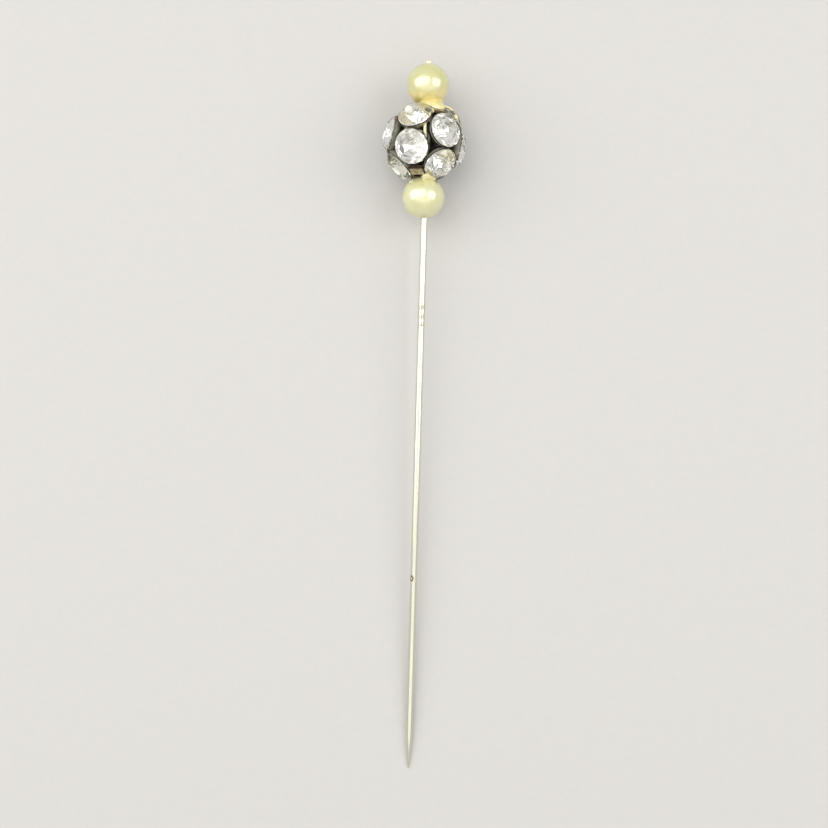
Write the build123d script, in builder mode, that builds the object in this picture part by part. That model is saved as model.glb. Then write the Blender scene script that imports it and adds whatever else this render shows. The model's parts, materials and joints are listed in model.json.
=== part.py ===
"""Hat pin: a steel wire with a ground point, two faux pearls and a ball of twelve rhinestones in cups.

The pin is modelled along its own wire, from the point at the origin up +Z to the head, and is laid down
at the end.  Azimuths are counted round the wire from -Y, the side that faces up when the pin lies, to +X.
"""
import os
from math import asin, cos, degrees, radians, sin, sqrt, tan

from build123d import *

# Wire
pin_length = 101.6
wire_radius = 0.5
point_length = 6.1
point_radius = 0.075
wire_end_radius = 0.47
wire_end_chamfer = 0.08
wire_end_above_pearl = 0.32

# Pearls, each a bored bead on the wire, the lower one bored a little off its middle
pearl_radius = 3.0
pearl_bore_radius = 0.54
pearl_mouth_depth = 0.12
lower_pearl_side_offset = -0.2

# Ball: four rings of three cups round a gap at each pole, which the wire passes through
ball_to_upper_pearl = 8.0
ball_to_lower_pearl = 7.72
ball_side_offset = -0.3
ball_lean = -1.9
ball_azimuth = -22.0
end_ring_angle = 46.5
middle_ring_angle = 76.6

# Rhinestone: a round pointed-back stone with eight crown and eight pavilion facets
stone_radius = 2.42
girdle_distance = 4.77
girdle_height = 0.08
crown_height = 0.95
pavilion_depth = 1.70
table_radius = 1.38
culet_radius = 0.10
facet_count = 8

# Cup: a thin cone with a short upright lip round the stone
cup_radius = 2.55
cup_wall = 0.12
cup_rim_distance = 4.84
cup_lip_height = 0.11
cup_half_angle = 30.0
cup_foot_radius = 1.60
cup_bottom_radius = 1.10
cup_bottom_distance = 2.75

# Straps that bridge the three cups round each pole
strap_angle = 35.0
strap_width = 1.50
strap_thickness = 0.30
strap_distance = 5.15

# Solder between neighbouring cups: near their rims, or behind them where the rims nearly touch
solder_radius = 0.42
solder_reach = 0.55
rim_solder_distance = 4.60
back_solder_distance = 3.10
neighbour_angle = 60.0

# Glue
glue_neck_radius = 2.30
glue_foot_radius = 3.05
glue_foot_below_pearl = 2.95
glue_bottom_below_pearl = 3.60
glue_curve = 1.2
lower_glue_radius = 0.85
lower_glue_from_wire = 1.70
lower_glue_above_pearl = 2.40
lower_glue_azimuth = 25.0

upper_pearl_height = pin_length - wire_end_above_pearl - pearl_radius
ball_height = upper_pearl_height - ball_to_upper_pearl
lower_pearl_height = ball_height - ball_to_lower_pearl
ball_place = Location((ball_side_offset, 0, ball_height), (0, ball_lean, 0))
pieces = {}


def outward(polar_angle, azimuth):
    """Unit vector at a polar angle from the head end and an azimuth round the wire, in degrees."""
    polar, around = radians(polar_angle), radians(azimuth)
    return Vector(sin(polar) * sin(around), -sin(polar) * cos(around), cos(polar))


# Rings from the head down to the point: name, polar angle, azimuth of the first cup
rings = [
    ("top", end_ring_angle, ball_azimuth),
    ("upper", middle_ring_angle, ball_azimuth + 60),
    ("lower", 180 - middle_ring_angle, ball_azimuth),
    ("bottom", 180 - end_ring_angle, ball_azimuth + 60),
]
directions = {
    f"{ring}_{number + 1}": outward(polar_angle, azimuth + 120 * number)
    for ring, polar_angle, azimuth in rings
    for number in range(3)
}
seats = {
    name: ball_place * Plane(origin=(0, 0, 0), z_dir=direction).location
    for name, direction in directions.items()
}

# Wire: an ogive point, a straight shaft up to the lower pearl, then a slight taper through the beads to a
# cut end that shows above the upper pearl
point_step = wire_radius - point_radius
ogive_radius = (point_length**2 + point_step**2) / (2 * point_step)
shaft_end = lower_pearl_height - pearl_radius
with BuildPart() as pin_shaft:
    with BuildSketch(Plane.XZ):
        with BuildLine():
            RadiusArc((0, 0), (point_radius, point_radius), -point_radius)
            RadiusArc((point_radius, point_radius), (wire_radius, point_length), -ogive_radius)
            Polyline(
                (wire_radius, point_length),
                (wire_radius, shaft_end),
                (wire_end_radius, pin_length),
                (0, pin_length),
                (0, 0),
            )
        make_face()
    revolve(axis=Axis.Z)
    chamfer(pin_shaft.edges().group_by(Axis.Z)[-1], wire_end_chamfer)
pieces["pin_shaft"] = pin_shaft.part

# Pearls, with a small cone cut into each mouth of the bore
mouth_height = pearl_radius - pearl_mouth_depth
for name, side_offset, height in (
    ("upper_pearl", 0, upper_pearl_height),
    ("lower_pearl", lower_pearl_side_offset, lower_pearl_height),
):
    with BuildPart() as pearl:
        with Locations((side_offset, 0, height)):
            Sphere(pearl_radius)
        with Locations((0, 0, height)):
            Cylinder(pearl_bore_radius, 2 * pearl_radius, mode=Mode.SUBTRACT)
        with Locations(
            Location((0, 0, height + mouth_height)),
            Location((0, 0, height - mouth_height), (180, 0, 0)),
        ):
            Cone(
                pearl_bore_radius,
                pearl_bore_radius + 2 * pearl_mouth_depth,
                2 * pearl_mouth_depth,
                align=(Align.CENTER, Align.CENTER, Align.MIN),
                mode=Mode.SUBTRACT,
            )
    pieces[name] = pearl.part

# One rhinestone, its axis along +Z and the ball's centre at the origin
crown_foot = girdle_distance + girdle_height
with BuildPart() as stone:
    with BuildSketch(Plane.XY.offset(crown_foot)):
        RegularPolygon(stone_radius, facet_count, major_radius=False)
    with BuildSketch(Plane.XY.offset(crown_foot + crown_height)):
        RegularPolygon(table_radius, facet_count, major_radius=False)
    loft()
    with BuildSketch(Plane.XY.offset(girdle_distance)):
        RegularPolygon(stone_radius, facet_count, major_radius=False)
    extrude(amount=girdle_height)
    with BuildSketch(Plane.XY.offset(girdle_distance)):
        RegularPolygon(stone_radius, facet_count)
    with BuildSketch(Plane.XY.offset(girdle_distance - pavilion_depth)):
        RegularPolygon(culet_radius, facet_count)
    loft()
    with Locations((0, 0, girdle_distance)):
        Cylinder(stone_radius, 4 * pavilion_depth, mode=Mode.INTERSECT)

# One cup, and the solid cone that its outside fills
cup_shoulder = cup_rim_distance - cup_lip_height
cup_foot_distance = cup_shoulder - (cup_radius - cup_foot_radius) / tan(radians(cup_half_angle))
with BuildPart() as cup_cone:
    with BuildSketch(Plane.XZ):
        with BuildLine():
            Polyline(
                (0, cup_bottom_distance),
                (cup_bottom_radius, cup_bottom_distance),
                (cup_foot_radius, cup_foot_distance),
                (cup_radius, cup_shoulder),
                (cup_radius, cup_rim_distance),
                (0, cup_rim_distance),
                close=True,
            )
        make_face()
    revolve(axis=Axis.Z)

with BuildPart() as cup_shell:
    add(cup_cone.part)
    offset(amount=-cup_wall, openings=cup_shell.faces().sort_by(Axis.Z)[-1])

for name, seat in seats.items():
    with BuildPart() as cup:
        with Locations(seat):
            add(cup_shell.part)
    pieces[f"cup_{name}"] = cup.part
    with BuildPart() as seated_stone:
        with Locations(seat):
            add(stone.part)
    pieces[f"stone_{name}"] = seated_stone.part

# All twelve cup cones in place, which trim whatever lies between the cups
with BuildPart() as cup_cones:
    with Locations(*seats.values()):
        add(cup_cone.part)

# Straps: three round each pole, each from one cup of the end ring to the next
strap_to_cup = outward(strap_angle, 60).get_angle(outward(end_ring_angle, 0))
strap_length = 2 * (strap_distance * sin(radians(strap_to_cup - cup_half_angle)) + cup_wall)
for name, polar_angle, first_azimuth in (
    ("top_straps", strap_angle, ball_azimuth + 60),
    ("bottom_straps", 180 - strap_angle, ball_azimuth),
):
    strap_places = []
    for azimuth in (first_azimuth, first_azimuth + 120, first_azimuth + 240):
        direction = outward(polar_angle, azimuth)
        along = Vector(cos(radians(azimuth)), sin(radians(azimuth)), 0)
        middle = Plane(origin=direction * strap_distance, x_dir=along, z_dir=direction)
        strap_places.append(ball_place * middle.location)
    with BuildPart() as straps:
        with Locations(*strap_places):
            Box(strap_length, strap_width, strap_thickness)
        add(cup_cones.part, mode=Mode.SUBTRACT)
    pieces[name] = straps.part

# Solder, one node for each pair of rings: short bars from cup to cup, cut off at the cup walls
for first_ring, second_ring, solder_distance in (
    ("top", "upper", rim_solder_distance),
    ("top", "lower", back_solder_distance),
    ("upper", "bottom", back_solder_distance),
    ("lower", "bottom", rim_solder_distance),
):
    first_cups = [directions[f"{first_ring}_{number + 1}"] for number in range(3)]
    second_cups = [directions[f"{second_ring}_{number + 1}"] for number in range(3)]
    joints = []
    for first in first_cups:
        for second in second_cups:
            if first.get_angle(second) < neighbour_angle:
                middle = (first + second).normalized() * solder_distance
                joints.append(ball_place * Plane(origin=middle, z_dir=second - first).location)
    with BuildPart() as solder:
        with Locations(*joints):
            Cylinder(solder_radius, 2 * solder_reach)
        add(cup_cones.part, mode=Mode.SUBTRACT)
    pieces[f"solder_{first_ring}_{second_ring}"] = solder.part

# Glue under the upper pearl: a collar that hugs the pearl and runs down between the stones of the top ring
glue_neck = upper_pearl_height - sqrt(pearl_radius**2 - glue_neck_radius**2)
glue_foot = upper_pearl_height - glue_foot_below_pearl
glue_bottom = upper_pearl_height - glue_bottom_below_pearl
with BuildPart() as upper_glue:
    with BuildSketch(Plane.XZ):
        with BuildLine():
            RadiusArc((glue_neck_radius, glue_neck), (glue_foot_radius, glue_foot), -glue_curve)
            Polyline(
                (glue_foot_radius, glue_foot),
                (glue_foot_radius, glue_bottom),
                (wire_radius, glue_bottom),
                (wire_radius, glue_neck),
                (glue_neck_radius, glue_neck),
            )
        make_face()
    revolve(axis=Axis.Z)
    with Locations((0, 0, upper_pearl_height)):
        Sphere(pearl_radius, mode=Mode.SUBTRACT)
    add(cup_cones.part, mode=Mode.SUBTRACT)
    add(pieces["top_straps"], mode=Mode.SUBTRACT)
    add(pieces["solder_top_upper"], mode=Mode.SUBTRACT)
    for number in range(3):
        add(pieces[f"stone_top_{number + 1}"], mode=Mode.SUBTRACT)
pieces["upper_glue"] = upper_glue.part

# Glue above the lower pearl: one drop on the side that faces up
lower_glue_middle = outward(90, lower_glue_azimuth) * lower_glue_from_wire
with BuildPart() as lower_glue:
    with Locations(lower_glue_middle + Vector(0, 0, lower_pearl_height + lower_glue_above_pearl)):
        Sphere(lower_glue_radius)
    with Locations((lower_pearl_side_offset, 0, lower_pearl_height)):
        Sphere(pearl_radius, mode=Mode.SUBTRACT)
    add(cup_cones.part, mode=Mode.SUBTRACT)
    add(pieces["bottom_straps"], mode=Mode.SUBTRACT)
    for number in range(3):
        add(pieces[f"stone_bottom_{number + 1}"], mode=Mode.SUBTRACT)
pieces["lower_glue"] = lower_glue.part


def laid_down(tilt):
    """The turn that lays the pin on its back with its head raised by a tilt in degrees."""
    return Location((0, 0, 0), (tilt - 90, 0, 0))


def lowest(names, tilt):
    """The height of the lowest of some pieces when the pin is laid down."""
    laid = Compound(children=[pieces[name].moved(laid_down(tilt)) for name in names])
    return laid.bounding_box().min.Z


# Tilt the lying pin until its lowest stone is level with the underside of its point
tilt = 0.0
stones = [name for name in pieces if name.startswith("stone")]
for _ in range(5):
    drop = lowest(["pin_shaft"], tilt) - lowest(stones, tilt)
    tilt += degrees(asin(drop / ball_height))
tilted = laid_down(tilt)

# Centre it over the origin, with the floor at zero
extent = Compound(children=[piece.moved(tilted) for piece in pieces.values()]).bounding_box()
lying = Location((-extent.center().X, -extent.center().Y, -extent.min.Z)) * tilted

os.makedirs("parts", exist_ok=True)
for name, piece in pieces.items():
    laid = piece.moved(lying)
    laid.label = name
    export_step(laid, f"parts/{name}.step")
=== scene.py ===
"""Hat pin on a pale floor.  Sizes are in metres unless a name or comment says millimetres.

The wire, pearls, cups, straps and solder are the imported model's own nodes with new materials.  The twelve
rhinestones, the glue collar and the glue drop are meshes made here.
"""
import json
import random
from math import asin, cos, pi, radians, sin

import bmesh
import bpy
from mathutils import Matrix, Vector


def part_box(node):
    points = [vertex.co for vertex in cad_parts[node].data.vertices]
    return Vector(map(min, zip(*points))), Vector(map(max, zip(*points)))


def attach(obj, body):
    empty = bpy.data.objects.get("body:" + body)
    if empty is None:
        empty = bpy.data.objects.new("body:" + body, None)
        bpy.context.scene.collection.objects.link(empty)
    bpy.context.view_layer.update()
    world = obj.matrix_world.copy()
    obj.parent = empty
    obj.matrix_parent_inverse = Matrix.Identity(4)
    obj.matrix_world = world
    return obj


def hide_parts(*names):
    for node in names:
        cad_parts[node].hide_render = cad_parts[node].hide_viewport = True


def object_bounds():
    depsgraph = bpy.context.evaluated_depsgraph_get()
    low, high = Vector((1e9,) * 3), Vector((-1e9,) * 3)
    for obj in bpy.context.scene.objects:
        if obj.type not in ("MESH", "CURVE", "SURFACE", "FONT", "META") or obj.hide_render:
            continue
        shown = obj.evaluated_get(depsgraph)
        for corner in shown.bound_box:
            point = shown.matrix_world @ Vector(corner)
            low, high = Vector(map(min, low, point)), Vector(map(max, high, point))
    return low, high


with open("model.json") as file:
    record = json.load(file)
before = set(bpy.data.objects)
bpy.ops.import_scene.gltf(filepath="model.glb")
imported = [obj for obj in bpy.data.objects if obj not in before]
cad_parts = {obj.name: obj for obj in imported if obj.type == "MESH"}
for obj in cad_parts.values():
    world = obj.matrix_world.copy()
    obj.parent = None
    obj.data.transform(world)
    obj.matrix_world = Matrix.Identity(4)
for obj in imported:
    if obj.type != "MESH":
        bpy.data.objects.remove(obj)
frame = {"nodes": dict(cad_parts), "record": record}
cad_low, cad_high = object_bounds()
nodes = frame["nodes"]
mm = 0.001
rng = random.Random(7)

ring_names = ("top", "upper", "lower", "bottom")
seats = [f"{ring}_{number}" for ring in ring_names for number in (1, 2, 3)]
stone_sides = 8

camera_height = 185 * mm
view_width = 120.9 * mm
pin_lean = radians(1.66)
lamp_distance = 0.5
floor_half_width = 1.5


# ---- Places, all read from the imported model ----


def middle(name):
    """The middle of a node's box."""
    low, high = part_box(name)
    return (low + high) / 2


def centroid(name):
    """The centre of a node's surface."""
    faces = nodes[name].data.polygons
    area = sum(face.area for face in faces)
    return sum((face.center * face.area for face in faces), Vector()) / area


shaft = frame["record"]["mounts"][0]
wire_radius = shaft["dims"]["r_mm"] * mm
toward_head = -Vector(shaft["axis"]).normalized()
across = Vector((1, 0, 0))
upward = across.cross(toward_head)
upper_pearl = middle("upper_pearl")
lower_pearl = middle("lower_pearl")
pearl_radius = (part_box("upper_pearl")[1].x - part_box("upper_pearl")[0].x) / 2
ball_centre = sum((centroid(f"cup_{seat}") for seat in seats), Vector()) / len(seats)
tip = upper_pearl + toward_head * (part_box("pin_shaft")[0].y - upper_pearl.y) / toward_head.y
wire_end = upper_pearl + toward_head * (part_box("pin_shaft")[1].y - upper_pearl.y) / toward_head.y


def pin_space(origin):
    """Matrix to the row frame from one in millimetres: +X right, +Y along the wire to the head, +Z up."""
    turn = Matrix((across, toward_head, upward)).transposed().to_4x4()
    return Matrix.Translation(origin) @ turn @ Matrix.Scale(mm, 4)


# ---- Node helpers ----


def new_material(name):
    """A node material and its Principled shader."""
    made = bpy.data.materials.new(name)
    made.use_nodes = True
    return made, made.node_tree.nodes["Principled BSDF"]


def node(tree, kind, inputs=(), **settings):
    """Adds a shader node.  inputs are (socket, value or output) pairs."""
    made = tree.nodes.new(kind)
    for name, value in settings.items():
        setattr(made, name, value)
    for socket, value in inputs:
        if isinstance(value, bpy.types.NodeSocket):
            tree.links.new(value, made.inputs[socket])
        else:
            made.inputs[socket].default_value = value
    return made


def position(tree):
    """A point's place in the row frame, in metres."""
    return node(tree, "ShaderNodeTexCoord").outputs["Object"]


def noise(tree, size, detail=3.0, stretch=(1, 1, 1), seed=0.0):
    """Noise whose blotches are about size across, longer along an axis where stretch is above 1.

    The axes are the pin's own, with +Y along the wire, so that long blotches follow the wire.
    """
    rise = asin(toward_head.z)
    level = node(tree, "ShaderNodeMapping", [("Vector", position(tree)), ("Rotation", (-rise, 0, 0))])
    scale = tuple(1 / (size * factor) for factor in stretch)
    place = node(tree, "ShaderNodeMapping", [("Vector", level.outputs[0]), ("Scale", scale)])
    made = node(
        tree,
        "ShaderNodeTexNoise",
        [("Vector", place.outputs[0]), ("W", seed), ("Scale", 1.0), ("Detail", detail)],
        noise_dimensions="4D",
    )
    return made.outputs["Fac"]


def remap(tree, value, low, high, to_low=0.0, to_high=1.0):
    """Maps low..high onto to_low..to_high, held at the ends."""
    source = [("Value", value), ("From Min", low), ("From Max", high)]
    target = [("To Min", to_low), ("To Max", to_high)]
    return node(tree, "ShaderNodeMapRange", source + target).outputs[0]


def mix(tree, factor, first, second):
    """Colour mix: first where factor is 0, second where it is 1."""
    return node(tree, "ShaderNodeMix", [(0, factor), (6, first), (7, second)], data_type="RGBA").outputs[2]


def combine(tree, operation, first, second):
    """One maths operation on two values."""
    return node(tree, "ShaderNodeMath", [(0, first), (1, second)], operation=operation).outputs[0]


def offset_from(tree, origin):
    """Vector from origin to a point of the surface."""
    inputs = [(0, position(tree)), (1, origin)]
    return node(tree, "ShaderNodeVectorMath", inputs, operation="SUBTRACT").outputs[0]


def distance_to(tree, point, reach=(1, 1, 1)):
    """Distance from a point.  With a reach for each axis it is 1 on the ellipsoid that reaches that far."""
    scale = tuple(1 / length for length in reach)
    inputs = [(0, offset_from(tree, point)), (1, scale)]
    away = node(tree, "ShaderNodeVectorMath", inputs, operation="MULTIPLY").outputs[0]
    return node(tree, "ShaderNodeVectorMath", [(0, away)], operation="LENGTH").outputs["Value"]


def distance_along(tree, origin):
    """Distance along the wire from origin, positive toward the head."""
    inputs = [(0, offset_from(tree, origin)), (1, toward_head)]
    return node(tree, "ShaderNodeVectorMath", inputs, operation="DOT_PRODUCT").outputs["Value"]


def bump(tree, shader, height, depth, strength=1.0):
    """Gives the shader bumps of a depth in metres."""
    inputs = [("Height", height), ("Distance", depth), ("Strength", strength)]
    made = node(tree, "ShaderNodeBump", inputs)
    tree.links.new(made.outputs[0], shader.inputs["Normal"])


# ---- Materials ----

glue_yellow = (0.68, 0.56, 0.17, 1)
glue_cream = (0.78, 0.71, 0.40, 1)


def steel_wire():
    """Bright plated wire with drawing lines, a few dull marks, one rust nick and glue on its cut end."""
    plating, plating_shade = (0.74, 0.73, 0.61, 1), (0.63, 0.62, 0.51, 1)
    line_colour = (0.30, 0.29, 0.23, 1)
    mark_colour = (0.12, 0.10, 0.07, 1)
    rust_colour = (0.16, 0.13, 0.08, 1)
    mark_places_and_lengths = ((67.0 * mm, 0.50 * mm), (65.7 * mm, 0.40 * mm), (64.5 * mm, 0.25 * mm))
    mark_width = 0.45 * mm
    nick_from_tip = 28.0 * mm
    nick_reach = (0.30 * mm, 0.42 * mm, 0.30 * mm)

    made, shader = new_material("bright_plated_wire")
    tree = made.node_tree
    lines = noise(tree, 0.05 * mm, detail=2.0, stretch=(1, 120, 1))
    cloud = noise(tree, 2.5 * mm, detail=4.0, stretch=(1, 2, 1), seed=3.0)
    colour = mix(tree, cloud, plating, plating_shade)
    colour = mix(tree, remap(tree, lines, 0.55, 0.75, 0.0, 0.45), colour, line_colour)

    ragged = noise(tree, 0.12 * mm, seed=9.0)
    for from_tip, length in mark_places_and_lengths:
        place = tip + toward_head * from_tip + upward * wire_radius
        mark = distance_to(tree, place, (mark_width, length, mark_width))
        mark = combine(tree, "ADD", mark, remap(tree, ragged, 0.3, 0.7, -0.6, 0.6))
        colour = mix(tree, remap(tree, mark, 1.0, 0.5, 0.0, 0.60), colour, mark_colour)

    # The nick is a ragged ring of rust with bright metal in its middle.
    place = tip + toward_head * nick_from_tip + (upward - across).normalized() * wire_radius
    nick = distance_to(tree, place, nick_reach)
    nick = combine(tree, "ADD", nick, remap(tree, ragged, 0.2, 0.8, -0.35, 0.35))
    from_ring = combine(tree, "ABSOLUTE", combine(tree, "SUBTRACT", nick, 0.8), 0.0)
    rust = remap(tree, from_ring, 0.5, 0.25)
    colour = mix(tree, rust, colour, rust_colour)

    glued = remap(tree, distance_along(tree, wire_end), -0.7 * mm, -0.1 * mm)
    colour = mix(tree, glued, colour, glue_cream)
    tree.links.new(colour, shader.inputs["Base Color"])
    bare = remap(tree, rust, 0, 1, 0.85, 0.1)
    metallic = combine(tree, "SUBTRACT", bare, remap(tree, glued, 0, 1, 0.0, 0.7))
    tree.links.new(metallic, shader.inputs["Metallic"])
    polish = remap(tree, cloud, 0.3, 0.7, 0.13, 0.22)
    roughness = combine(tree, "ADD", polish, remap(tree, rust, 0, 1, 0.0, 0.5))
    tree.links.new(roughness, shader.inputs["Roughness"])
    height = combine(tree, "SUBTRACT", combine(tree, "MULTIPLY", lines, 0.15), rust)
    bump(tree, shader, height, 0.02 * mm)
    return made


def faux_pearl(name, centre, body, shade, glued_side):
    """Pearl lacquer: satin under a clear coat, faintly mottled, worn round the ends of the bore.

    It turns to glue yellow toward the point.  glued_side says where that starts and ends, in millimetres
    from the pearl's middle.
    """
    freckle, worn = (0.90, 0.88, 0.74, 1), (0.70, 0.66, 0.50, 1)
    worn_depth = 0.12 * mm

    made, shader = new_material(name)
    tree = made.node_tree
    mottle = noise(tree, 1.6 * mm, seed=1.0)
    fine = noise(tree, 0.25 * mm, detail=4.0, seed=5.0)
    colour = mix(tree, remap(tree, mottle, 0.35, 0.65), body, shade)
    colour = mix(tree, remap(tree, fine, 0.60, 0.80, 0.0, 0.25), colour, freckle)
    along = distance_along(tree, centre)
    wavy = combine(tree, "ADD", along, remap(tree, mottle, 0.3, 0.7, -0.5 * mm, 0.5 * mm))
    glued = remap(tree, wavy, -glued_side[0] * mm, -glued_side[1] * mm)
    colour = mix(tree, glued, colour, glue_yellow)
    from_middle = combine(tree, "ABSOLUTE", along, 0.0)
    colour = mix(tree, remap(tree, from_middle, pearl_radius - worn_depth, pearl_radius), colour, worn)
    tree.links.new(colour, shader.inputs["Base Color"])
    tree.links.new(remap(tree, fine, 0.3, 0.7, 0.30, 0.42), shader.inputs["Roughness"])
    shader.inputs["Specular IOR Level"].default_value = 1.0
    shader.inputs["Subsurface Weight"].default_value = 0.15
    shader.inputs["Subsurface Radius"].default_value = (1.0, 0.9, 0.5)
    shader.inputs["Subsurface Scale"].default_value = 0.6 * mm
    shader.inputs["Coat Weight"].default_value = 1.0
    shader.inputs["Coat IOR"].default_value = 2.5
    shader.inputs["Coat Roughness"].default_value = 0.24
    bump(tree, shader, combine(tree, "ADD", fine, mottle), 0.006 * mm)
    return made


def cup_metal():
    """Oxidised grey-brown cups with painted shade in their depths and on their rims, which are rubbed bare
    in places.
    """
    dark_metal, light_metal = (0.42, 0.40, 0.31, 1), (0.74, 0.71, 0.60, 1)
    # The first rim colour is a painted shade line for the gap round each stone; the second is the lip
    # rubbed bare.
    rim_gap_shade, rubbed_rim = (0.035, 0.030, 0.022, 1), (0.45, 0.40, 0.31, 1)
    # Painted shade: the colour the cups darken to deep between them, toward the ball's centre.
    depth_shade_colour = (0.03, 0.026, 0.02, 1)
    rim_starts, rim_full = 5.33 * mm, 5.41 * mm
    depth_shade_starts, depth_shade_full = 4.95 * mm, 4.35 * mm

    made, shader = new_material("oxidised_cup_metal")
    tree = made.node_tree
    patina = noise(tree, 0.7 * mm, detail=5.0, seed=2.0)
    grain = noise(tree, 0.08 * mm, seed=4.0)
    out = distance_to(tree, ball_centre)
    colour = mix(tree, remap(tree, patina, 0.35, 0.65), dark_metal, light_metal)
    # Painted shade: the rims' tops go near black for the shaded gap between stone and cup lip, and wear
    # rubs parts of that bare.
    rim = remap(tree, out, rim_starts, rim_full)
    colour = mix(tree, rim, colour, rim_gap_shade)
    rubbed = combine(tree, "MULTIPLY", rim, remap(tree, patina, 0.58, 0.66))
    colour = mix(tree, rubbed, colour, rubbed_rim)
    # Painted shade: near black toward the ball's centre, where the gaps between the cups fall into shade.
    colour = mix(tree, remap(tree, out, depth_shade_starts, depth_shade_full), colour, depth_shade_colour)
    tree.links.new(colour, shader.inputs["Base Color"])
    tree.links.new(remap(tree, patina, 0.3, 0.7, 0.62, 0.38), shader.inputs["Roughness"])
    shader.inputs["Metallic"].default_value = 0.60
    bump(tree, shader, grain, 0.010 * mm, 0.6)
    return made


def strap_metal():
    """Brown straps, brighter where rubbed, with the shade of a pressed groove painted across those by the
    lower pearl.
    """
    brown, rubbed = (0.27, 0.21, 0.13, 1), (0.56, 0.47, 0.33, 1)
    # Painted shade colour for the pressed groove.
    groove_shade_colour = (0.07, 0.045, 0.025, 1)
    groove_from_pearl = 3.72 * mm
    groove_outer, groove_inner = 0.22 * mm, 0.10 * mm

    made, shader = new_material("brown_gold_strap")
    tree = made.node_tree
    patina = noise(tree, 0.35 * mm, detail=5.0, seed=6.0)
    lines = noise(tree, 0.04 * mm, detail=2.0, stretch=(12, 1, 1), seed=8.0)
    colour = mix(tree, remap(tree, patina, 0.4, 0.6), brown, rubbed)
    from_groove = combine(tree, "SUBTRACT", distance_along(tree, lower_pearl), groove_from_pearl)
    groove = remap(tree, combine(tree, "ABSOLUTE", from_groove, 0.0), groove_outer, groove_inner)
    # Painted shade: a dark band across the strap for the shade in the pressed groove.
    colour = mix(tree, groove, colour, groove_shade_colour)
    tree.links.new(colour, shader.inputs["Base Color"])
    tree.links.new(remap(tree, patina, 0.3, 0.7, 0.5, 0.3), shader.inputs["Roughness"])
    shader.inputs["Metallic"].default_value = 0.9
    bump(tree, shader, lines, 0.008 * mm, 0.6)
    return made


def solder_metal():
    """Dull lumpy solder."""
    dark_lead, light_lead = (0.10, 0.09, 0.075, 1), (0.26, 0.245, 0.21, 1)

    made, shader = new_material("dull_solder")
    tree = made.node_tree
    lumps = noise(tree, 0.25 * mm, detail=5.0, seed=7.0)
    colour = mix(tree, remap(tree, lumps, 0.35, 0.65), dark_lead, light_lead)
    tree.links.new(colour, shader.inputs["Base Color"])
    tree.links.new(remap(tree, lumps, 0.3, 0.7, 0.7, 0.45), shader.inputs["Roughness"])
    shader.inputs["Metallic"].default_value = 0.7
    bump(tree, shader, lumps, 0.08 * mm)
    return made


def crown_glass():
    """Clear glass with faint dust and hairline scratches."""
    clear, dusty = (1.0, 1.0, 1.0, 1), (0.97, 0.97, 0.95, 1)

    made, shader = new_material("clear_crown_glass")
    tree = made.node_tree
    dust = noise(tree, 0.5 * mm, detail=5.0, seed=11.0)
    scratches = noise(tree, 0.03 * mm, detail=2.0, stretch=(18, 1, 4), seed=12.0)
    colour = mix(tree, remap(tree, dust, 0.4, 0.7), clear, dusty)
    tree.links.new(colour, shader.inputs["Base Color"])
    tree.links.new(remap(tree, dust, 0.45, 0.75, 0.0, 0.10), shader.inputs["Roughness"])
    shader.inputs["Transmission Weight"].default_value = 1.0
    shader.inputs["IOR"].default_value = 1.54
    bump(tree, shader, scratches, 0.001 * mm, 0.15)
    return made


def pavilion_foil(name, bright, tarnish, spread):
    """Mirror foil behind the glass, dulled in blotches.  spread is the share of it that has tarnished."""
    made, shader = new_material(name)
    tree = made.node_tree
    blotches = noise(tree, 0.9 * mm, detail=4.0, seed=14.0)
    worn = remap(tree, blotches, 0.68 - spread, 0.76 - spread)
    tree.links.new(mix(tree, worn, bright, tarnish), shader.inputs["Base Color"])
    tree.links.new(remap(tree, worn, 0, 1, 0.09, 0.32), shader.inputs["Roughness"])
    shader.inputs["Metallic"].default_value = 0.75
    ripples = noise(tree, 0.4 * mm, detail=2.0, seed=15.0)
    bump(tree, shader, ripples, 0.0015 * mm)
    return made


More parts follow.
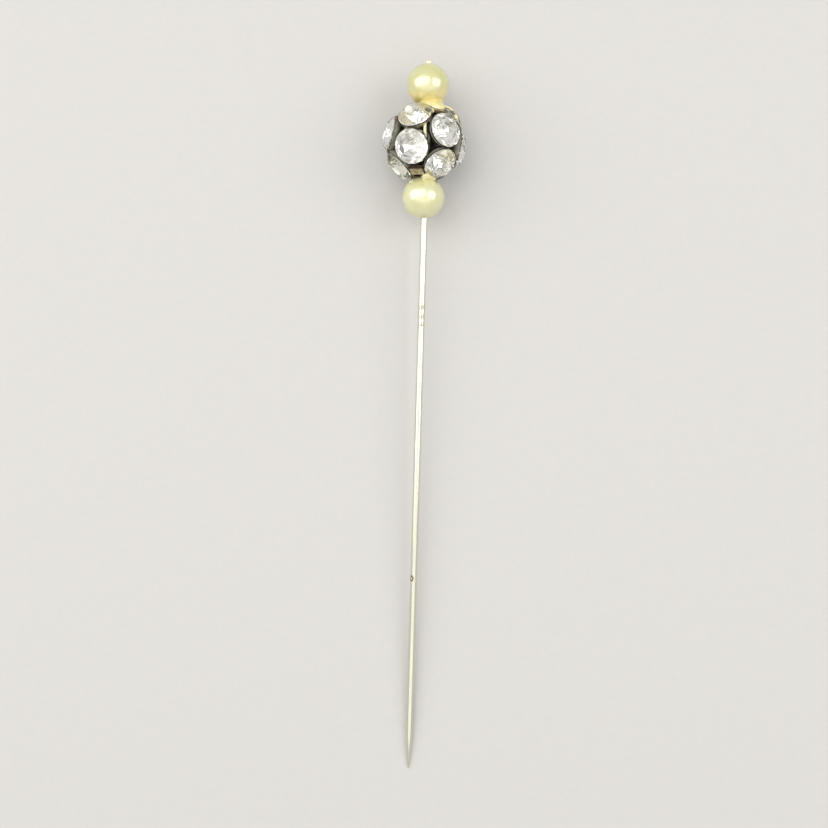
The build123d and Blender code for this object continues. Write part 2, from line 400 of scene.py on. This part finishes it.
def hardened_glue():
    """Yellowed clear glue: glossy, a little see-through, with streaks, tiny bubbles and painted shade in
    hollows.
    """
    pale_streak, amber_streak = (0.86, 0.79, 0.48, 1), (0.62, 0.45, 0.16, 1)
    # Painted shade colour for the hollows in the glue.
    hollow_shade_colour = (0.09, 0.10, 0.05, 1)
    yellow_ends, cream_starts = -2.4 * mm, -3.8 * mm
    hollows_mm = ((0.15, -4.20, 4.0), (3.60, -4.00, 1.5))
    hollow_reach = (0.68 * mm, 0.40 * mm, 0.68 * mm)

    made, shader = new_material("yellowed_glue")
    tree = made.node_tree
    streaks = noise(tree, 0.9 * mm, detail=4.0, stretch=(2.2, 1, 1), seed=20.0)
    bubbles = noise(tree, 0.10 * mm, detail=2.0, seed=21.0)
    toward_ball = remap(tree, distance_along(tree, upper_pearl), yellow_ends, cream_starts)
    colour = mix(tree, toward_ball, glue_yellow, glue_cream)
    colour = mix(tree, remap(tree, streaks, 0.50, 0.68, 0.0, 0.8), colour, pale_streak)
    colour = mix(tree, remap(tree, streaks, 0.42, 0.30, 0.0, 0.7), colour, amber_streak)
    # Painted shade: near-black spots for the shade in hollows of the glue.
    for hollow in hollows_mm:
        away = distance_to(tree, pin_space(upper_pearl) @ Vector(hollow), hollow_reach)
        colour = mix(tree, remap(tree, away, 1.05, 0.75, 0.0, 0.85), colour, hollow_shade_colour)
    tree.links.new(colour, shader.inputs["Base Color"])
    tree.links.new(remap(tree, bubbles, 0.55, 0.75, 0.12, 0.35), shader.inputs["Roughness"])
    shader.inputs["Subsurface Weight"].default_value = 0.5
    shader.inputs["Subsurface Radius"].default_value = (1.0, 0.8, 0.35)
    shader.inputs["Subsurface Scale"].default_value = 0.8 * mm
    shader.inputs["Coat Weight"].default_value = 1.0
    shader.inputs["Coat Roughness"].default_value = 0.06
    height = combine(tree, "ADD", streaks, combine(tree, "MULTIPLY", bubbles, 0.12))
    bump(tree, shader, height, 0.08 * mm)
    return made


def pale_floor():
    """Matt pale paper."""
    made, shader = new_material("pale_floor")
    tree = made.node_tree
    fibre = noise(tree, 0.8 * mm, detail=4.0, seed=30.0)
    colour = mix(tree, fibre, (0.50, 0.49, 0.47, 1), (0.53, 0.52, 0.50, 1))
    tree.links.new(colour, shader.inputs["Base Color"])
    shader.inputs["Roughness"].default_value = 0.85
    bump(tree, shader, fibre, 0.01 * mm, 0.4)
    return made


# ---- Pieces ----


def add_object(name, mesh):
    """Links a mesh into the scene."""
    made = bpy.data.objects.new(name, mesh)
    bpy.context.scene.collection.objects.link(made)
    return made


def set_material(part, made):
    """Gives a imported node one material."""
    part.data.materials.clear()
    part.data.materials.append(made)


def soften_edges(part, width):
    """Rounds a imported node's sharp edges so that they catch the light."""
    bevel = part.modifiers.new("worn_edges", "BEVEL")
    bevel.width = width
    bevel.segments = 2
    bevel.limit_method = "ANGLE"
    bevel.angle_limit = radians(40)


def stone_sizes():
    """Heights from the ball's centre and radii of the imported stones, measured on one of them."""
    axis = (centroid("cup_top_1") - ball_centre).normalized()
    points = [vertex.co - ball_centre for vertex in nodes["stone_top_1"].data.vertices]
    heights = [point.dot(axis) for point in points]
    radii = [(point - axis * height).length for point, height in zip(points, heights)]
    radius = max(radii)
    girdle = [height for height, r in zip(heights, radii) if r > 0.995 * radius]
    table = max(heights)
    table_radius = max(r for height, r in zip(heights, radii) if height > table - 0.01 * mm)
    return radius, table_radius, min(heights), min(girdle), max(girdle), table


def stone_mesh(name, turn):
    """A pointed-back stone with a table, stars, kites and half facets, its axis along +Z from the ball."""
    star_share = 0.45
    pavilion_share = 0.72
    radius, table_radius, culet, girdle_low, girdle_high, table = stone_sizes()
    half = pi / stone_sides
    crown_slope = (table - girdle_high) / (radius - table_radius)
    star_radius = radius - star_share * (radius - table_radius)
    star_height = girdle_high + crown_slope * (radius - star_radius * cos(half))
    pavilion_slope = (girdle_low - culet) / radius
    lower_radius = pavilion_share * radius
    lower_height = girdle_low - pavilion_slope * (radius - lower_radius * cos(half))

    made = bmesh.new()

    def ring(count, r, height, offset):
        step = 2 * pi / count
        angles = [turn + offset + step * k for k in range(count)]
        return [made.verts.new((r * cos(angle), r * sin(angle), height)) for angle in angles]

    table_ring = ring(stone_sides, table_radius, table, 0)
    star_ring = ring(stone_sides, star_radius, star_height, half)
    girdle_top = ring(2 * stone_sides, radius, girdle_high, 0)
    girdle_base = ring(2 * stone_sides, radius, girdle_low, 0)
    lower_ring = ring(stone_sides, lower_radius, lower_height, half)
    point = made.verts.new((0, 0, culet))

    made.faces.new(table_ring)
    for k in range(stone_sides):
        after = (k + 1) % stone_sides
        corner, halfway, next_corner = 2 * k, 2 * k + 1, 2 * after
        made.faces.new((table_ring[after], table_ring[k], star_ring[k]))
        made.faces.new((table_ring[k], star_ring[k - 1], girdle_top[corner], star_ring[k]))
        made.faces.new((star_ring[k], girdle_top[corner], girdle_top[halfway]))
        made.faces.new((star_ring[k], girdle_top[halfway], girdle_top[next_corner]))
        for a, b in ((corner, halfway), (halfway, next_corner)):
            made.faces.new((girdle_top[a], girdle_base[a], girdle_base[b], girdle_top[b]))
        foiled = [
            made.faces.new((point, lower_ring[k], girdle_base[corner], lower_ring[k - 1])),
            made.faces.new((lower_ring[k], girdle_base[halfway], girdle_base[corner])),
            made.faces.new((lower_ring[k], girdle_base[next_corner], girdle_base[halfway])),
        ]
        for face in foiled:
            face.material_index = 1
    bmesh.ops.recalc_face_normals(made, faces=made.faces)
    mesh = bpy.data.meshes.new(name)
    made.to_mesh(mesh)
    made.free()
    return mesh


def add_stones():
    """One faceted stone in each cup, turned and tipped a little at random."""
    facet_turn = 2 * pi / stone_sides
    most_tip = 1.2
    glass = crown_glass()
    clear = pavilion_foil("clear_foil", (1.0, 0.99, 0.94, 1), (0.86, 0.85, 0.77, 1), 0.05)
    rosy = pavilion_foil("rosy_foil", (1.0, 0.985, 0.94, 1), (0.72, 0.69, 0.63, 1), 0.16)
    worn = pavilion_foil("worn_foil", (1.0, 0.99, 0.86, 1), (0.22, 0.21, 0.12, 1), 0.18)
    foils = {"lower_1": rosy, "lower_2": rosy, "bottom_3": worn, "top_2": worn}
    for seat in seats:
        direction = (centroid(f"cup_{seat}") - ball_centre).normalized()
        mesh = stone_mesh(f"rhinestone_{seat}", rng.uniform(0, facet_turn))
        tip_over = Matrix.Rotation(radians(rng.uniform(-most_tip, most_tip)), 4, "X")
        face = Matrix.Translation(ball_centre) @ direction.to_track_quat("Z", "Y").to_matrix().to_4x4()
        mesh.transform(face @ tip_over)
        mesh.materials.append(glass)
        mesh.materials.append(foils.get(seat, clear))
        stone = add_object(mesh.name, mesh)
        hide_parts(f"stone_{seat}")
        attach(stone, "root")


def glue_from_balls(name, balls, origin, made):
    """One smooth skin round overlapping balls, each (x, y, z, radius) in the millimetres of pin_space."""
    lump = bmesh.new()
    for x, y, z, radius in balls:
        place = Matrix.Translation((x, y, z))
        bmesh.ops.create_icosphere(lump, subdivisions=2, radius=radius, matrix=place)
    mesh = bpy.data.meshes.new(name)
    lump.to_mesh(mesh)
    lump.free()
    glue = add_object(name, mesh)
    remesh = glue.modifiers.new("skin", "REMESH")
    remesh.mode = "VOXEL"
    remesh.voxel_size = 0.10
    remesh.use_smooth_shade = True
    smooth = glue.modifiers.new("flow", "SMOOTH")
    smooth.factor = 0.6
    smooth.iterations = 14
    bpy.context.view_layer.update()
    depsgraph = bpy.context.evaluated_depsgraph_get()
    skin = bpy.data.meshes.new_from_object(glue.evaluated_get(depsgraph))
    glue.modifiers.clear()
    glue.data = skin
    skin.transform(pin_space(origin))
    skin.materials.clear()
    skin.materials.append(made)
    return glue


def between(first, second, count):
    """Balls evenly spaced from one to the other."""
    shares = [k / (count - 1) for k in range(count)]
    return [tuple(a + (b - a) * share for a, b in zip(first, second)) for share in shares]


def on_ring(turn, middle_x, half_width, half_height, along, radius):
    """A ball on an ellipse round the wire, turn degrees from the right toward the top."""
    angle = radians(turn)
    return (middle_x + half_width * cos(angle), along, half_height * sin(angle), radius)


def collar_balls():
    """The neck under the upper pearl, and its skirt, which spreads over the top of the ball."""
    most_wave = 0.08
    balls = []
    for turn in range(0, 360, 15):
        wave = rng.uniform(-most_wave, most_wave)
        top = on_ring(turn, 0.36, 1.14, 1.14, along=-2.25, radius=0.80)
        foot = on_ring(turn, 0.56, 1.27, 1.27, along=-3.40 + wave, radius=0.66 + wave)
        balls += between(top, foot, 6)
    for turn in range(45, 141, 8):
        waist = on_ring(turn, 0.5, 1.5, 1.45, along=-2.75, radius=0.58)
        hem = on_ring(turn, 0.5, 2.0, 2.35, along=-3.5, radius=0.52)
        balls += between(waist, hem, 4)
    return balls


def run_balls():
    """Films that ran from the collar over a stone at each side, and a string between two cups."""
    left_root, left_edge = (-0.8, -3.4, 2.2, 0.50), (-0.5, -4.3, 3.85, 0.36)
    left_end = (0.25, -4.95, 4.40, 0.30)
    balls = between(left_root, left_edge, 10)
    balls += between(left_edge, left_end, 8)
    balls += between((-0.4, -3.9, 3.4, 0.44), (0.6, -4.2, 3.75, 0.42), 6)
    right_root, right_edge = (1.8, -3.20, 1.0, 0.52), (3.1, -3.50, 0.8, 0.42)
    right_end = (4.0, -4.7, 1.5, 0.38)
    balls += between(right_root, right_edge, 6)
    balls += between(right_edge, right_end, 8)
    balls += between((-0.28, -5.9, 4.3, 0.28), (-0.28, -7.7, 4.5, 0.30), 12)
    return balls


def drop_balls():
    """Two short ridges across the lower pearl's end, and a lip up to the nearest stone."""
    balls = between((0.1, 2.72, 1.60, 0.54), (1.25, 2.68, 1.40, 0.54), 8)
    balls += between((0.25, 3.00, 2.10, 0.54), (1.05, 2.97, 2.05, 0.54), 6)
    balls += between((0.62, 3.10, 2.50, 0.50), (0.72, 3.35, 2.95, 0.46), 5)
    return balls


def add_glue():
    """The collar with its runs, placed from the upper pearl, and the drop, placed from the lower pearl."""
    made = hardened_glue()
    upper = glue_from_balls("glue_collar", collar_balls() + run_balls(), upper_pearl, made)
    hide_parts("upper_glue")
    lower = glue_from_balls("glue_drop", drop_balls(), lower_pearl, made)
    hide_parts("lower_glue")
    for glue in (upper, lower):
        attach(glue, "root")


def finish_packed_nodes():
    """Materials and worn edges for the nodes that stay as they are."""
    cream, cream_shade = (0.56, 0.55, 0.23, 1), (0.51, 0.49, 0.17, 1)
    pale, pale_shade = (0.62, 0.61, 0.32, 1), (0.57, 0.55, 0.24, 1)
    thin_edge, strap_edge = 0.03 * mm, 0.08 * mm

    set_material(nodes["pin_shaft"], steel_wire())
    cream_lacquer = faux_pearl("cream_pearl_lacquer", upper_pearl, cream, cream_shade, (0.6, 1.7))
    pale_lacquer = faux_pearl("pale_pearl_lacquer", lower_pearl, pale, pale_shade, (2.3, 4.5))
    set_material(nodes["upper_pearl"], cream_lacquer)
    set_material(nodes["lower_pearl"], pale_lacquer)
    cup = cup_metal()
    for seat in seats:
        set_material(nodes[f"cup_{seat}"], cup)
        soften_edges(nodes[f"cup_{seat}"], thin_edge)
    strap = strap_metal()
    for name in ("top_straps", "bottom_straps"):
        set_material(nodes[name], strap)
        soften_edges(nodes[name], strap_edge)
    solder = solder_metal()
    for name in nodes:
        if name.startswith("solder"):
            set_material(nodes[name], solder)
            soften_edges(nodes[name], thin_edge)


# ---- Floor, light and camera ----


def add_floor():
    """A wide sheet, flat on the ground."""
    sheet = bmesh.new()
    bmesh.ops.create_grid(sheet, x_segments=8, y_segments=8, size=floor_half_width)
    mesh = bpy.data.meshes.new("floor")
    sheet.to_mesh(mesh)
    sheet.free()
    mesh.materials.append(pale_floor())
    add_object("floor", mesh)


def add_softbox(name, sideways, forward, width, height, power):
    """A lamp panel over the pin, facing it, moved by degrees to the right and toward the head."""
    lamp = bpy.data.lights.new(name, "AREA")
    lamp.shape = "RECTANGLE"
    lamp.size = width
    lamp.size_y = height
    lamp.energy = power
    lamp.color = (1.0, 0.985, 0.96)
    away = Vector((sin(radians(sideways)), sin(radians(forward)), cos(radians(sideways)))).normalized()
    side = (across - away * across.dot(away)).normalized()
    turn = Matrix((side, away.cross(side), away)).transposed().to_4x4()
    made = bpy.data.objects.new(name, lamp)
    made.matrix_world = Matrix.Translation(away * lamp_distance) @ turn
    bpy.context.scene.collection.objects.link(made)


def add_light():
    """Two panels overhead with a gap between them, a weak one toward the point, and a grey room."""
    add_softbox("left_panel", sideways=-34, forward=14, width=0.84, height=0.40, power=2.4)
    add_softbox("right_panel", sideways=44, forward=10, width=0.38, height=0.32, power=0.95)
    add_softbox("point_panel", sideways=0, forward=-23, width=0.90, height=0.25, power=0.55)
    world = bpy.data.worlds.new("room")
    world.use_nodes = True
    room = world.node_tree.nodes["Background"]
    room.inputs["Color"].default_value = (0.82, 0.82, 0.82, 1)
    room.inputs["Strength"].default_value = 0.76
    bpy.context.scene.world = world
    bpy.context.scene.view_settings.view_transform = "Standard"


def add_camera():
    """Straight above the pin, turned so that the pin leans a little to the right."""
    shift_right, shift_up = -0.35 * mm, 0.95 * mm
    camera = bpy.data.cameras.new("camera")
    camera.sensor_width = 36.0
    camera.lens = camera.sensor_width * camera_height / view_width
    camera.clip_start = 0.01
    camera.clip_end = 10
    made = bpy.data.objects.new("camera", camera)
    pin_middle = (cad_low + cad_high) / 2
    made.location = Vector((pin_middle.x + shift_right, pin_middle.y + shift_up, camera_height))
    made.rotation_euler = (0, 0, pin_lean)
    bpy.context.scene.collection.objects.link(made)
    bpy.context.scene.camera = made


finish_packed_nodes()
add_stones()
add_glue()
add_floor()
add_light()
add_camera()
